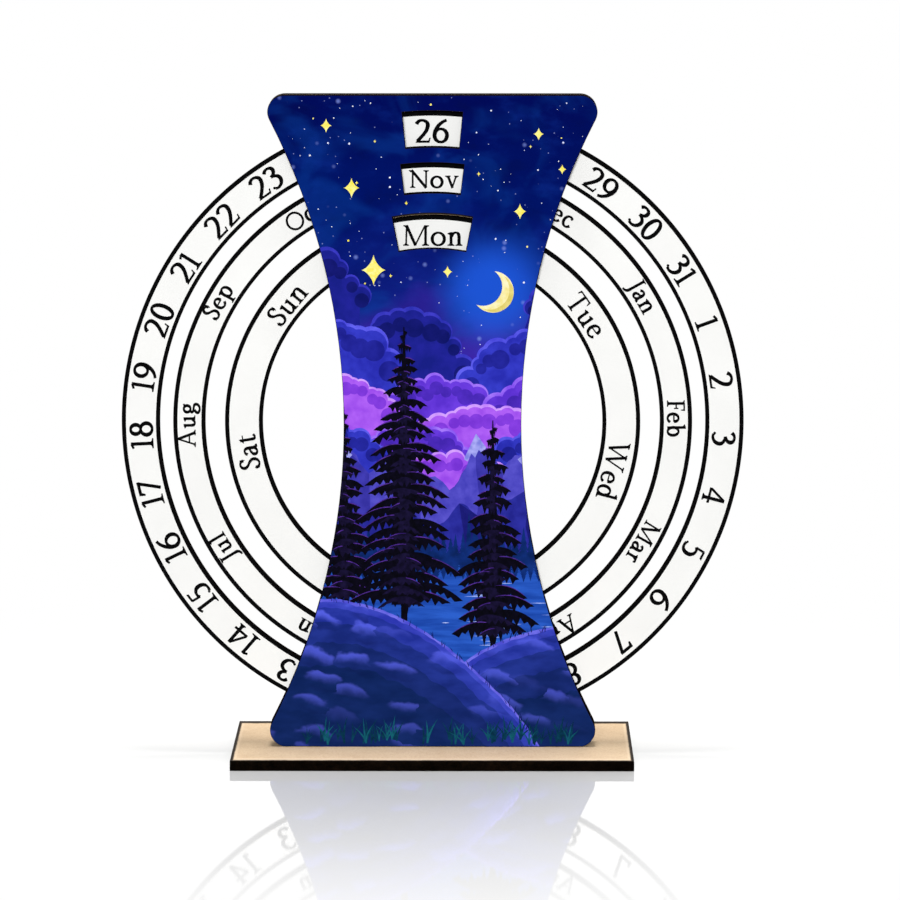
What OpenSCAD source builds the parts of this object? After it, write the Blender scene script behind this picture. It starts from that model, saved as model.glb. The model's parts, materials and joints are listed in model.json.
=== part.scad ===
// Perpetual desk calendar cut from flat board.
// Three lettered rings lie one inside the next, all in one plane, between two
// hourglass panels that stand on a base. Each ring is turned by hand at its sides,
// and the panel's windows show what has been turned to the top: date, month, weekday.
// Millimetres. Origin at the middle of the base's underside, +Z up, +X to the right,
// and the windows face -Y.

/* [Board] */
// Thickness of the base board
base_t = 3; // [2:0.5:8]
// Thickness of the front and back panels
panel_t = 3; // [2:0.5:5]
// Thickness of the ring board
ring_t = 2.5; // [1.5:0.25:4]

/* [Base] */
// Width of the base
base_w = 120; // [90:1:180]
// Depth of the base, front to back
base_d = 65; // [40:1:110]
// Distance from the base's front edge back to the front panel's face
setback = 23; // [6:1:26]

/* [Panels] */
// Height of a panel above the date ring, and as much below it
crown_h = 5; // [3:0.5:15]
// Width of a panel at its waist
waist_w = 53; // [40:1:70]
// Width of a panel at its top and bottom, measured to the unrounded corners
end_w = 104.6; // [90:0.2:130]
// Radius of a panel's corners
corner_r = 5; // [1:0.5:8]

/* [Tabs] */
// Width of each of the tabs that stand in the base's slots
tab_w = 18; // [8:1:24]
// Distance from the middle of a panel to the middle of each tab
tab_x = 25; // [16:1:28]
// How far a tab stops short of the base's underside
tab_recess = 0.2; // [0:0.1:0.6]

/* [Rings] */
// Outside radius of the date ring
date_r = 93; // [90:0.5:120]
// Width of the date ring's band
date_band = 11.4; // [10:0.1:12]
// Gap between the date ring and the month ring
outer_gap = 4; // [3:0.1:6]
// Width of the month ring's band
month_band = 9.6; // [8:0.1:11]
// Gap between the month ring and the weekday ring
inner_gap = 5.9; // [3:0.1:7]
// Width of the weekday ring's band
weekday_band = 11.3; // [10:0.1:14]

/* [Windows] */
// Angle from the middle of the date window to either side
date_half_angle = 5.5; // [4:0.1:7]
// Angle from the middle of the month window to either side
month_half_angle = 6.9; // [6:0.1:10]
// Angle from the middle of the weekday window to either side
weekday_half_angle = 10.9; // [8:0.1:14]
// How far the date and month windows reach past their rings' outer edges
window_rise = 0.4; // [0:0.1:1]
// How far the weekday window reaches past its ring's outer edge
weekday_rise = 0.9; // [0:0.1:2]
// How much of a ring's inner rim the date and month windows hide
window_sill = 1; // [0.2:0.1:2]
// How much of the weekday ring's inner rim its window hides
weekday_sill = 1.7; // [0.2:0.1:3]

/* [Clearances] */
// Play between a ring's edges and the guides that it turns on
ring_play = 0.35; // [0.2:0.05:0.6]
// Play between a ring's face and a panel
face_play = 0.25; // [0.15:0.05:0.5]
// Play all round a tab in its slot
slot_play = 0.1; // [0.05:0.05:0.3]
// How far the pieces between the panels stand in from the panels' curved sides
side_inset = 1; // [0.5:0.1:3]

/* [Hidden] */
$fn = 180;
bare_board = "#d2b594";
core_board = "#c4a581";
printed_board = "#1b2a86";
white_board = "white";

// The rings' edges, from the outside in
date_in = date_r - date_band;
month_r = date_in - outer_gap;
month_in = month_r - month_band;
weekday_r = month_in - inner_gap;
weekday_in = weekday_r - weekday_band;

// The panels' height, and their middle, which is the axis that the rings turn about
half_h = date_r + crown_h;
axis_z = base_t + half_h;

// Each curved side of a panel is one arc through the waist and the two corners
flare = (end_w - waist_w) / 2;
side_r = (flare * flare + half_h * half_h) / (2 * flare);
side_x = waist_w / 2 + side_r;

// A corner's circle touches the top edge and the side's arc, where this line meets it
corner_z = half_h - corner_r;
corner_x = side_x - sqrt(pow(side_r + corner_r, 2) - corner_z * corner_z);
corner_slope = corner_z / (side_x - corner_x);

// The layers from front to back
core_t = ring_t + 2 * face_play;
front_y = setback - base_d / 2;
core_y = front_y + panel_t;
back_y = core_y + core_t;

// Lays a flat outline, drawn about the rings' axis, in the upright layer that starts at y
module layer(y, t)
    translate([0, y + t, axis_z])
        rotate([90, 0, 0])
            linear_extrude(t) children();

module both_sides() {
    children();
    mirror([1, 0, 0]) children();
}

// What lies outside a corner's circle, from the top edge round to the side's arc
module corner_cut()
    translate([corner_x, corner_z]) difference() {
        polygon([[0, 0], [0, end_w], [end_w, end_w], [end_w, -end_w * corner_slope]]);
        circle(corner_r);
    }

module hourglass()
    difference() {
        square([end_w + 2 * corner_r, 2 * half_h], center = true);
        both_sides() {
            translate([side_x, 0]) circle(side_r);
            corner_cut();
            mirror([0, 1, 0]) corner_cut();
        }
    }

// The part of the hourglass that the pieces between the panels fill
module core_field()
    difference() {
        hourglass();
        both_sides() translate([side_x, 0]) circle(side_r + side_inset);
    }

module band(outer_r, inner_r)
    difference() {
        circle(outer_r);
        circle(inner_r);
    }

// A wedge about the upward direction that reaches past radius r
module wedge(r, half_angle)
    polygon([
        [0, 0],
        [-2 * r * sin(half_angle), 2 * r * cos(half_angle)],
        [2 * r * sin(half_angle), 2 * r * cos(half_angle)]
    ]);

module window(outer_r, inner_r, half_angle)
    intersection() {
        band(outer_r, inner_r);
        wedge(outer_r, half_angle);
    }

// Everything above the rings' axis, or below it
module half_field(above)
    translate([-end_w, above ? 0 : -2 * half_h]) square([2 * end_w, 2 * half_h]);

// A panel and its two tabs, which run up into it as far as its corners are round
module panel(y)
    union() {
        layer(y, panel_t) children();
        both_sides()
            translate([tab_x - tab_w / 2, y, tab_recess])
                cube([tab_w, panel_t, base_t - tab_recess + corner_r]);
    }

// The slots for one panel's tabs, right through the base
module slots(y)
    both_sides()
        translate([tab_x - tab_w / 2 - slot_play, y - slot_play, -base_t])
            cube([tab_w + 2 * slot_play, panel_t + 2 * slot_play, 3 * base_t]);

// Fills the top of the core, or its foot, around the date ring
module end_spacer(above)
    color(core_board) layer(core_y, core_t) difference() {
        core_field();
        half_field(!above);
        circle(date_r + ring_play);
    }

// Fills the gap between two rings, with play on both sides
module guide(above, outer_r, inner_r)
    color(core_board) layer(core_y, core_t) intersection() {
        core_field();
        half_field(above);
        band(outer_r - ring_play, inner_r + ring_play);
    }

module ring(outer_r, inner_r)
    color(white_board) layer(core_y + face_play, ring_t) band(outer_r, inner_r);

module base()
    color(bare_board) difference() {
        translate([-base_w / 2, -base_d / 2, 0]) cube([base_w, base_d, base_t]);
        slots(front_y);
        slots(back_y);
    }

module front_panel()
    color(printed_board) panel(front_y) difference() {
        hourglass();
        window(date_r + window_rise, date_in + window_sill, date_half_angle);
        window(month_r + window_rise, month_in + window_sill, month_half_angle);
        window(weekday_r + weekday_rise, weekday_in + weekday_sill, weekday_half_angle);
    }

module back_panel()
    color(bare_board) panel(back_y) hourglass();

module crown_spacer()
    end_spacer(true);

module foot_spacer()
    end_spacer(false);

module upper_date_guide()
    guide(true, date_in, month_r);

module lower_date_guide()
    guide(false, date_in, month_r);

module upper_month_guide()
    guide(true, month_in, weekday_r);

module lower_month_guide()
    guide(false, month_in, weekday_r);

// Fills the weekday ring's middle, and centres it
module hub()
    color(core_board) layer(core_y, core_t) intersection() {
        core_field();
        circle(weekday_in - ring_play);
    }

module date_ring()
    ring(date_r, date_in);

module month_ring()
    ring(month_r, month_in);

module weekday_ring()
    ring(weekday_r, weekday_in);

base();
front_panel();
back_panel();
crown_spacer();
foot_spacer();
upper_date_guide();
lower_date_guide();
upper_month_guide();
lower_month_guide();
hub();
date_ring();
month_ring();
weekday_ring();
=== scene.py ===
import json
import math
import random

import bmesh
import bpy
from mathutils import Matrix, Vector
from mathutils.geometry import delaunay_2d_cdt

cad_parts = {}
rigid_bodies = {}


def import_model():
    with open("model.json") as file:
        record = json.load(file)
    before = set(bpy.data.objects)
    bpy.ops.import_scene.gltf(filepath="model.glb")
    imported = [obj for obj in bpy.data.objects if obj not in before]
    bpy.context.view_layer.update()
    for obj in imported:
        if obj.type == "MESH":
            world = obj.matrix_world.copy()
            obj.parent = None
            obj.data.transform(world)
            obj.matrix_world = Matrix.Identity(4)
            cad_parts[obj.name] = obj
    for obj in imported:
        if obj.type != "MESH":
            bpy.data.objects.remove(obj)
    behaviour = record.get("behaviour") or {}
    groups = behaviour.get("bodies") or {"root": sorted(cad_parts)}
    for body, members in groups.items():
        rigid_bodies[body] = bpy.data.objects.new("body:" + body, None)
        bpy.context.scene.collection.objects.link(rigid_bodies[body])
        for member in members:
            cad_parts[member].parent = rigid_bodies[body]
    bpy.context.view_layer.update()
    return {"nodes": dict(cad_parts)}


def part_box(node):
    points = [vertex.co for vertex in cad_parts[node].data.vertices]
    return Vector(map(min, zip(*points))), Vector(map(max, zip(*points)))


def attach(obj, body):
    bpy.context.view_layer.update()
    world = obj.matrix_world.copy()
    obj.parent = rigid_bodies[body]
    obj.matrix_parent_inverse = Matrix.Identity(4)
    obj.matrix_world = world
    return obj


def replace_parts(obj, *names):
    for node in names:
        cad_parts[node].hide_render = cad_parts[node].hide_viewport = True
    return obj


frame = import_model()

mm = 0.001


# nodes and meshes

def fromHex(code):
    # sRGB hex to the linear colour that the shaders want
    channels = [int(code[i:i + 2], 16) / 255 for i in (1, 3, 5)]
    linear = [c / 12.92 if c <= 0.04045 else ((c + 0.055) / 1.055) ** 2.4 for c in channels]
    return (*linear, 1.0)


def plugIn(tree, node, inputs):
    # links the inputs that come out of other nodes, and sets the others
    for key, value in (inputs.items() if isinstance(inputs, dict) else enumerate(inputs)):
        if isinstance(value, bpy.types.NodeSocket):
            tree.links.new(value, node.inputs[key])
        else:
            node.inputs[key].default_value = value


def addNode(tree, kind, inputs=(), out=0, stops=(), **settings):
    # adds a node with its settings, inputs and colour stops, and gives back one output, or all if out is None
    node = tree.nodes.new(kind)
    for name, value in settings.items():
        setattr(node, name, value)
    plugIn(tree, node, inputs)
    if stops:
        ramp = node.color_ramp
        while len(ramp.elements) < len(stops):
            ramp.elements.new(1.0)
        for element, (place, code) in zip(ramp.elements, stops):
            element.position = place
            element.color = fromHex(code)
    return node.outputs if out is None else node.outputs[out]


def newMaterial(name):
    material = bpy.data.materials.new(name)
    material.use_nodes = True
    tree = material.node_tree
    return material, tree, next(n for n in tree.nodes if n.type == "BSDF_PRINCIPLED")


def finishSurface(tree, shader, colour, dullness, relief, specular=0.5):
    # dullness is a roughness or (pattern, lowest, highest), and relief is (pattern, millimetres, strength)
    if isinstance(dullness, tuple):
        dullness = addNode(tree, "ShaderNodeMapRange", [dullness[0], 0, 1, *dullness[1:]])
    height, depth, strength = relief
    bumps = addNode(tree, "ShaderNodeBump", {"Height": height, "Distance": depth * mm, "Strength": strength})
    plugIn(tree, shader, {
        "Base Color": colour, "Roughness": dullness, "Specular IOR Level": specular, "Normal": bumps,
    })


def objectPoint(tree, centre=(0, 0, 0)):
    # the surface point in millimetres about a centre, so that pattern sizes below are real ones
    return addNode(tree, "ShaderNodeMapping", {
        "Vector": addNode(tree, "ShaderNodeTexCoord", out="Object"),
        "Location": [-c / mm for c in centre], "Scale": (1 / mm, 1 / mm, 1 / mm),
    })


def grain(tree, point, size, detail=3.0, roughness=0.5, stretch=(1, 1, 1), warp=0.0):
    # noise whose blotches are about size millimetres across
    placed = addNode(tree, "ShaderNodeMapping", {"Vector": point, "Scale": [1 / (size * s) for s in stretch]})
    return addNode(tree, "ShaderNodeTexNoise", {
        "Vector": placed, "Scale": 1.0, "Detail": detail, "Roughness": roughness, "Distortion": warp,
    })


def overlay(tree, colour, code, pattern, start, end, amount=1.0, fade="LINEAR"):
    # lays another colour over the first one, more and more as a pattern's value goes from start to end
    factor = addNode(tree, "ShaderNodeMapRange", [pattern, start, end, 0.0, amount], interpolation_type=fade)
    return addNode(tree, "ShaderNodeMix", {0: factor, 6: colour, 7: fromHex(code)}, 2, data_type="RGBA")


def meshObject(name, verts, faces, materials=(), slots=None):
    mesh = bpy.data.meshes.new(name)
    mesh.from_pydata(verts, [], faces)
    for material in materials:
        mesh.materials.append(material)
    if slots:
        mesh.polygons.foreach_set("material_index", slots)
    mesh.validate()
    obj = bpy.data.objects.new(name, mesh)
    bpy.context.scene.collection.objects.link(obj)
    return obj


def signedArea(loop):
    return sum(a[0] * b[1] - b[0] * a[1] for a, b in zip(loop, loop[1:] + loop[:1])) / 2


def fillLoops(loops, wanted):
    # divides overlapping outlines into triangles and keeps those that wanted(set of outlines) accepts
    points, outlines = [], []
    for loop in loops:
        if signedArea(loop) < 0:
            loop = loop[::-1]
        outlines.append(list(range(len(points), len(points) + len(loop))))
        points += [Vector(p) for p in loop]
    found = delaunay_2d_cdt(points, [], outlines, 1, 1e-6, True)
    places, triangles, sources = found[0], found[2], found[5]
    kept = [t for t, source in zip(triangles, sources) if wanted(set(source))]
    return [tuple(p) for p in places], kept


def thickenTriangles(places, triangles, front, back):
    # a closed flat solid in the upright plane, from depth front to depth back, in millimetres
    used = sorted({i for t in triangles for i in t})
    number = {i: k for k, i in enumerate(used)}
    count = len(used)
    verts = [(places[i][0] * mm, depth * mm, places[i][1] * mm) for depth in (front, back) for i in used]
    faces, edges = [], {}
    for t in triangles:
        t = [number[i] for i in t]
        faces += [t, [i + count for i in reversed(t)]]
        for a, b in zip(t, t[1:] + t[:1]):
            edges[a, b] = True
    for a, b in edges:
        if (b, a) not in edges:
            faces.append([a, a + count, b + count, b])
    return verts, faces


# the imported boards' own outlines

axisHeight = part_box("date_ring")[0].z / 2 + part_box("date_ring")[1].z / 2

# a face's directions to the right, up and outwards, and its origin
layFace = {
    "front": (Vector((1, 0, 0)), Vector((0, 0, 1)), Vector((0, -1, 0)), Vector((0, 0, axisHeight))),
    "top": (Vector((1, 0, 0)), Vector((0, 1, 0)), Vector((0, 0, 1)), Vector((0, 0, 0))),
}


def ringSize(node):
    # outer and inner radius, front and back of a packed ring, in metres
    low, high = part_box(node)
    reach = [math.hypot(v.co.x, v.co.z - axisHeight) for v in frame["nodes"][node].data.vertices]
    return max(reach), min(reach), low.y, high.y


def rimLoops(node, lay):
    # outline and holes of the face that looks out, in millimetres, with the board on the left
    right, up, out, origin = layFace[lay]
    form = bmesh.new()
    form.from_mesh(frame["nodes"][node].data)
    bmesh.ops.remove_doubles(form, verts=form.verts, dist=1e-7)
    form.normal_update()
    top = max(v.co.dot(out) for v in form.verts)
    deep = top - min(v.co.dot(out) for v in form.verts)
    after = {}
    for face in form.faces:
        if face.normal.dot(out) < 0.99 or face.calc_center_median().dot(out) < top - 1e-6:
            continue
        for corner in face.loops:
            if any(f.normal.dot(out) < 0.99 for f in corner.edge.link_faces):
                after[corner.vert] = corner.link_loop_next.vert
    loops = []
    while after:
        vert = next(iter(after))
        loop = []
        while vert in after:
            place = vert.co - origin
            loop.append((place.dot(right) / mm, place.dot(up) / mm))
            vert = after.pop(vert)
        loops.append(loop)
    form.free()
    return loops, top / mm, deep / mm


def inset(loop, amount):
    # moves an outline into its board, corners mitred
    moved = []
    for before, here, after in zip(loop[-1:] + loop[:-1], loop, loop[1:] + loop[:1]):
        first = Vector((before[1] - here[1], here[0] - before[0])).normalized()
        second = Vector((here[1] - after[1], after[0] - here[0])).normalized()
        shift = (first + second) * amount / max(0.2, 1 + first.dot(second))
        moved.append((here[0] + shift.x, here[1] + shift.y))
    return moved


def cutBoard(name, node, lay, edge, materials):
    # a laser-cut board: flat faces, an edge rounded by a hair, and rows of points for the scorch beside it
    loops, top, deep = rimLoops(node, lay)
    right, up, out, origin = layFace[lay]
    turns = [math.pi / 2 * k / edge["steps"] for k in range(edge["steps"] + 1)]
    fillet = [(edge["round"] * (1 - math.sin(a)), edge["round"] * (1 - math.cos(a))) for a in turns]
    levels = [(row, 0.0) for row in reversed(edge["rows"])] + fillet
    levels += [(side, deep - down) for side, down in reversed(levels)]
    lastFace, firstBack = len(edge["rows"]), len(levels) - 1 - len(edge["rows"])
    verts, faces, slots, gaps, starts = [], [], [], [], []
    for loop in loops:
        rows = []
        for level, (side, down) in enumerate(levels):
            rows.append(len(verts))
            flat = level <= lastFace or level >= firstBack
            for u, v in inset(loop, side):
                verts.append(origin + right * u * mm + up * v * mm + out * (top - down) * mm)
                gaps.append(side if flat else 0.0)
        starts.append(rows)
        count = len(loop)
        for level in range(len(levels) - 1):
            zone = 0 if level < lastFace else 2 if level >= firstBack else 1
            for i in range(count):
                j = (i + 1) % count
                a, b = rows[level], rows[level + 1]
                faces.append((a + i, b + i, b + j, a + j))
                slots.append(zone)
    outers = {k for k, loop in enumerate(loops) if signedArea(loop) > 0}
    for level, zone in ((0, 0), (len(levels) - 1, 2)):
        rim = [inset(loop, levels[level][0]) for loop in loops]
        index = {}
        for loop, rows in zip(rim, starts):
            for i, place in enumerate(loop):
                index[round(place[0], 4), round(place[1], 4)] = rows[level] + i
        places, triangles = fillLoops(rim, lambda inside: inside & outers and not inside - outers)
        for t in triangles:
            corners = [index[round(places[i][0], 4), round(places[i][1], 4)] for i in t]
            faces.append(corners if zone == 0 else corners[::-1])
            slots.append(zone)
    board = meshObject(name, verts, faces, materials, slots)
    board.data.polygons.foreach_set("use_smooth", [slot == 1 for slot in slots])
    gap = board.data.attributes.new("edgeGap", "FLOAT", "POINT")
    gap.data.foreach_set("value", gaps)
    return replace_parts(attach(board, "stand"), node)


# finishes

def ringGap(tree, point):
    # distance in millimetres from the nearest cut round a ring, where point is taken about the rings' axis
    level = addNode(tree, "ShaderNodeVectorMath", [point, (1, 0, 1)], operation="MULTIPLY")
    reach = addNode(tree, "ShaderNodeVectorMath", [level], "Value", operation="LENGTH")
    gap = 99.0  # further than any cut
    for node in ("date_ring", "month_ring", "weekday_ring"):
        for rim in ringSize(node)[:2]:
            away = addNode(tree, "ShaderNodeMath", [reach, rim / mm], operation="SUBTRACT")
            away = addNode(tree, "ShaderNodeMath", [away], operation="ABSOLUTE")
            gap = addNode(tree, "ShaderNodeMath", [gap, away], operation="MINIMUM")
    return gap


# how fast a distance grows inwards from the base's edges: smoke stained the rear most and the front least
# the front's numbers also set how far in the painted highlight along the base's front edge reaches
smoke = {"rear": 0.25, "front": 0.3, "frontStart": 0.5}


def baseGaps(tree, point):
    # distances in from the base's sides, rear and front, in millimetres
    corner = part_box("base")[1] / mm
    across, along, _ = addNode(tree, "ShaderNodeSeparateXYZ", [point], None)
    across = addNode(tree, "ShaderNodeMath", [across], operation="ABSOLUTE")
    side = addNode(tree, "ShaderNodeMath", [corner.x, across], operation="SUBTRACT")
    rear = addNode(tree, "ShaderNodeMath", [corner.y, along], operation="SUBTRACT")
    rear = addNode(tree, "ShaderNodeMath", [rear, smoke["rear"]], operation="MULTIPLY")
    front = addNode(tree, "ShaderNodeMath", [corner.y, along], operation="ADD")
    front = addNode(tree, "ShaderNodeMath", [
        front, smoke["front"], smoke["frontStart"],
    ], operation="MULTIPLY_ADD")
    return side, rear, front


def makeBareFibreboard(name, cut):
    # medium-density fibreboard, sanded and unsealed: matt tan, finely felted, with soft brown scorch at cuts
    material, tree, shader = newMaterial(name)
    point = objectPoint(tree, (0, 0, axisHeight if cut == "ring" else 0))
    felt = grain(tree, point, 0.55, detail=4.0, roughness=0.7, warp=0.6)
    fleck = grain(tree, point, 0.28, detail=2.0, roughness=0.8)
    colour = addNode(tree, "ShaderNodeValToRGB", [felt], stops=[
        (0.25, "#c2a17b"), (0.45, "#dfc4a2"), (0.62, "#e5cdad"), (0.8, "#eedcc2"),
    ])
    colour = overlay(tree, colour, "#a98662", grain(tree, point, 9.0, detail=2.0), 0.35, 0.7, 0.16)
    colour = overlay(tree, colour, "#8a6a4b", fleck, 0.66, 0.74, 0.55)
    if cut == "base":
        side, rear, front = baseGaps(tree, point)
        nearest = addNode(tree, "ShaderNodeMath", [side, front], operation="MINIMUM")
        # painted highlight: a paler band along the base's sides and front edge, standing in for light caught
        # at the edge
        colour = overlay(tree, colour, "#f0d8ba", nearest, 2.1, 1.5, 0.5, "SMOOTHSTEP")
        gap = addNode(tree, "ShaderNodeMath", [nearest, rear], operation="MINIMUM")
    elif cut == "ring":
        gap = ringGap(tree, point)
    else:
        gap = addNode(tree, "ShaderNodeAttribute", out="Fac", attribute_name="edgeGap")
    ragged = addNode(tree, "ShaderNodeMath", [grain(tree, point, 3.5), 0.3, gap], operation="MULTIPLY_ADD")
    relief = addNode(tree, "ShaderNodeMath", [fleck, 0.5, felt], operation="MULTIPLY_ADD")
    colour = overlay(tree, colour, "#20170f", ragged, 1.35, 0.85, 1.0, "SMOOTHSTEP")
    finishSurface(tree, shader, colour, (felt, 0.78, 0.92), (relief, 0.05, 0.5), 0.3)
    return material


def makeCharredEdge():
    # laser-cut fibreboard wall: near-black soot in blotches, with fine brown ribs where the beam pulsed
    material, tree, shader = newMaterial("laserCharredEdge")
    point = objectPoint(tree)
    pulses = grain(tree, point, 0.35, detail=2.0, stretch=(1, 9, 1))
    soot = grain(tree, point, 2.6, detail=4.0)
    colour = addNode(tree, "ShaderNodeValToRGB", [soot], stops=[
        (0.3, "#040302"), (0.55, "#0a0705"), (0.8, "#18100a"),
    ])
    colour = overlay(tree, colour, "#2a1b10", pulses, 0.45, 0.8, 0.35)
    finishSurface(tree, shader, colour, (soot, 0.7, 0.9), (pulses, 0.06, 0.6), 0.0)
    return material


def makeCoreBoard():
    # the boards between the panels: bare faces, scorched beside the cuts round the rings, and sooty cut walls
    material, tree, shader = newMaterial("laserCutCoreBoard")
    point = objectPoint(tree, (0, 0, axisHeight))
    pulses = grain(tree, point, 0.35, detail=2.0, stretch=(1, 9, 1))
    felt = grain(tree, point, 0.55, detail=4.0, roughness=0.7)
    bare = addNode(tree, "ShaderNodeValToRGB", [felt], stops=[(0.3, "#bb9b77"), (0.7, "#dcc3a4")])
    bare = overlay(tree, bare, "#1c130c", ringGap(tree, point), 2.2, 0.9, 0.93)
    wall = addNode(tree, "ShaderNodeValToRGB", [pulses], stops=[(0.35, "#080604"), (0.8, "#2a1b10")])
    facing = addNode(tree, "ShaderNodeSeparateXYZ", [addNode(tree, "ShaderNodeTexCoord", out="Normal")], "Y")
    facing = addNode(tree, "ShaderNodeMath", [facing], operation="ABSOLUTE")
    flat = addNode(tree, "ShaderNodeMath", [facing, 0.9], operation="GREATER_THAN")
    relief = addNode(tree, "ShaderNodeMix", {0: flat, 2: pulses, 3: felt})
    colour = addNode(tree, "ShaderNodeMix", {0: flat, 6: wall, 7: bare}, 2, data_type="RGBA")
    finishSurface(tree, shader, colour, 0.8, (relief, 0.05, 0.5), 0.05)
    return material


def makeWhiteCoat():
    # white lacquer sprayed on board under the print: satin, with fine orange peel and the odd fibre under it
    material, tree, shader = newMaterial("whiteSprayedLacquer")
    point = objectPoint(tree)
    peel = grain(tree, point, 0.9, detail=2.0)
    haze = grain(tree, point, 14.0)
    fibre = grain(tree, point, 0.4, roughness=0.7, stretch=(4, 1, 1))
    colour = addNode(tree, "ShaderNodeValToRGB", [haze], stops=[(0.3, "#f6f6f4"), (0.7, "#fafaf8")])
    colour = overlay(tree, colour, "#e9e6df", fibre, 0.66, 0.8, 0.25)
    finishSurface(tree, shader, colour, (peel, 0.42, 0.56), (peel, 0.012, 0.35), 0.3)
    return material


def makePrintInk(name, low, high, size=1.2, roughness=0.55, stretch=(1, 1, 1)):
    # ultraviolet-cured ink lying on the surface: satin, with the faint mottle of overlapping passes
    material, tree, shader = newMaterial(name)
    mottle = grain(tree, objectPoint(tree), size, stretch=stretch)
    colour = addNode(tree, "ShaderNodeValToRGB", [mottle], stops=[(0.35, low), (0.68, high)])
    dullness = (mottle, roughness - 0.06, roughness + 0.08)
    finishSurface(tree, shader, colour, dullness, (mottle, 0.008, 0.3), 0.03)
    return material


# sizes and heights in millimetres, and for light and shade: colour, where it starts and is full, and strength
knolls = {"wide": 14.0, "high": 8.0, "slope": 0.35, "wander": 0.7, "top": -58.0, "foot": -96.0,
          "light": ("#5a66ee", -0.08, 0.34, 0.8), "shade": ("#0a1248", -0.1, -0.40, 0.4)}


def makeBankInk(name, low, high):
    # the same ink for the grassy banks, shaded in soft knolls that the moon lights from above
    material, tree, shader = newMaterial(name)
    point = objectPoint(tree, (0, 0, axisHeight))
    mottle = grain(tree, point, 4.0, stretch=(2.2, 1, 1))
    across = (1 / knolls["wide"], 0, 0)
    along = (knolls["slope"] / knolls["wide"], 0, 1 / knolls["high"])
    spread = []
    for way, wave in ((across, mottle), (along, grain(tree, point, 7.0))):
        even = addNode(tree, "ShaderNodeVectorMath", [point, way], "Value", operation="DOT_PRODUCT")
        spread.append(addNode(tree, "ShaderNodeMath", [
            wave, knolls["wander"], even,
        ], operation="MULTIPLY_ADD"))
    spread = addNode(tree, "ShaderNodeCombineXYZ", spread)
    cells = addNode(tree, "ShaderNodeTexVoronoi", {
        "Vector": spread, "Scale": 1.0,
    }, None, voronoi_dimensions="2D")
    offset = addNode(tree, "ShaderNodeVectorMath", [spread, cells["Position"]], operation="SUBTRACT")
    lift = addNode(tree, "ShaderNodeSeparateXYZ", [offset], "Y")
    dome = addNode(tree, "ShaderNodeMapRange", [
        cells["Distance"], 0.46, 0.33,
    ], interpolation_type="SMOOTHSTEP")
    chance = addNode(tree, "ShaderNodeSeparateColor", [cells["Color"]])
    chosen = addNode(tree, "ShaderNodeMapRange", [chance, 0.25, 0.6])
    height = addNode(tree, "ShaderNodeSeparateXYZ", [point], "Z")
    shown = addNode(tree, "ShaderNodeMapRange", [height, knolls["foot"], knolls["top"], 0.3, 1.0])
    for share in (dome, chosen):
        shown = addNode(tree, "ShaderNodeMath", [shown, share], operation="MULTIPLY")
    colour = addNode(tree, "ShaderNodeValToRGB", [mottle], stops=[(0.35, low), (0.68, high)])
    for code, start, end, strength in (knolls["light"], knolls["shade"]):
        amount = addNode(tree, "ShaderNodeMath", [shown, strength], operation="MULTIPLY")
        colour = overlay(tree, colour, code, lift, start, end, amount, "SMOOTHSTEP")
    finishSurface(tree, shader, colour, 0.55, (mottle, 0.008, 0.3), 0.03)
    return material


print("finishes")
charredEdge = makeCharredEdge()
whiteCoat = makeWhiteCoat()
bareBoard = makeBareFibreboard("bareFibreboard", "panel")
ringBack = makeBareFibreboard("bareRingBack", "ring")
blackInk = makePrintInk("blackPrintInk", "#020202", "#070708")
coreBoard = makeCoreBoard()
for node, obj in frame["nodes"].items():
    if node.endswith(("spacer", "guide")) or node == "hub":
        obj.data.materials.clear()
        obj.data.materials.append(coreBoard)


# rings

def newTree(name, sockets):
    tree = bpy.data.node_groups.new(name, "GeometryNodeTree")
    tree.interface.new_socket("Geometry", in_out="OUTPUT", socket_type="NodeSocketGeometry")
    for label, kind in sockets.items():
        tree.interface.new_socket(label, in_out="INPUT", socket_type="NodeSocket" + kind)
    return tree, addNode(tree, "NodeGroupInput", out=None)


def closeTree(tree, geometry, *finishes):
    # ends a tree with plain geometry and its (material, where) pairs, the first of which goes everywhere
    geometry = addNode(tree, "GeometryNodeRealizeInstances", [geometry])
    for material, where in finishes:
        geometry = addNode(tree, "GeometryNodeSetMaterial", [geometry, where, material])
    addNode(tree, "NodeGroupOutput", [geometry], None)
    return tree


def grow(name, tree, values, start=None):
    # runs a tree on one object and keeps the result as a plain mesh; a list of meshes goes in as a collection
    holder = start or meshObject(name, [], [])
    modifier = holder.modifiers.new("grow", "NODES")
    modifier.node_group = tree
    stock = bpy.data.collections.new(name + "Stock")
    for item in tree.interface.items_tree:
        if item.in_out == "OUTPUT" or item.name not in values:
            continue
        value = values[item.name]
        if isinstance(value, list):
            for piece in value:
                bpy.context.scene.collection.objects.unlink(piece)
                stock.objects.link(piece)
            value = stock
        modifier[item.identifier] = value
    bpy.context.view_layer.update()
    ready = holder.evaluated_get(bpy.context.evaluated_depsgraph_get())
    grown = bpy.data.meshes.new_from_object(ready)
    grown.name = name
    holder.modifiers.clear()
    holder.data = grown
    for piece in list(stock.objects):
        bpy.data.objects.remove(piece)
    bpy.data.collections.remove(stock)
    return holder


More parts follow.
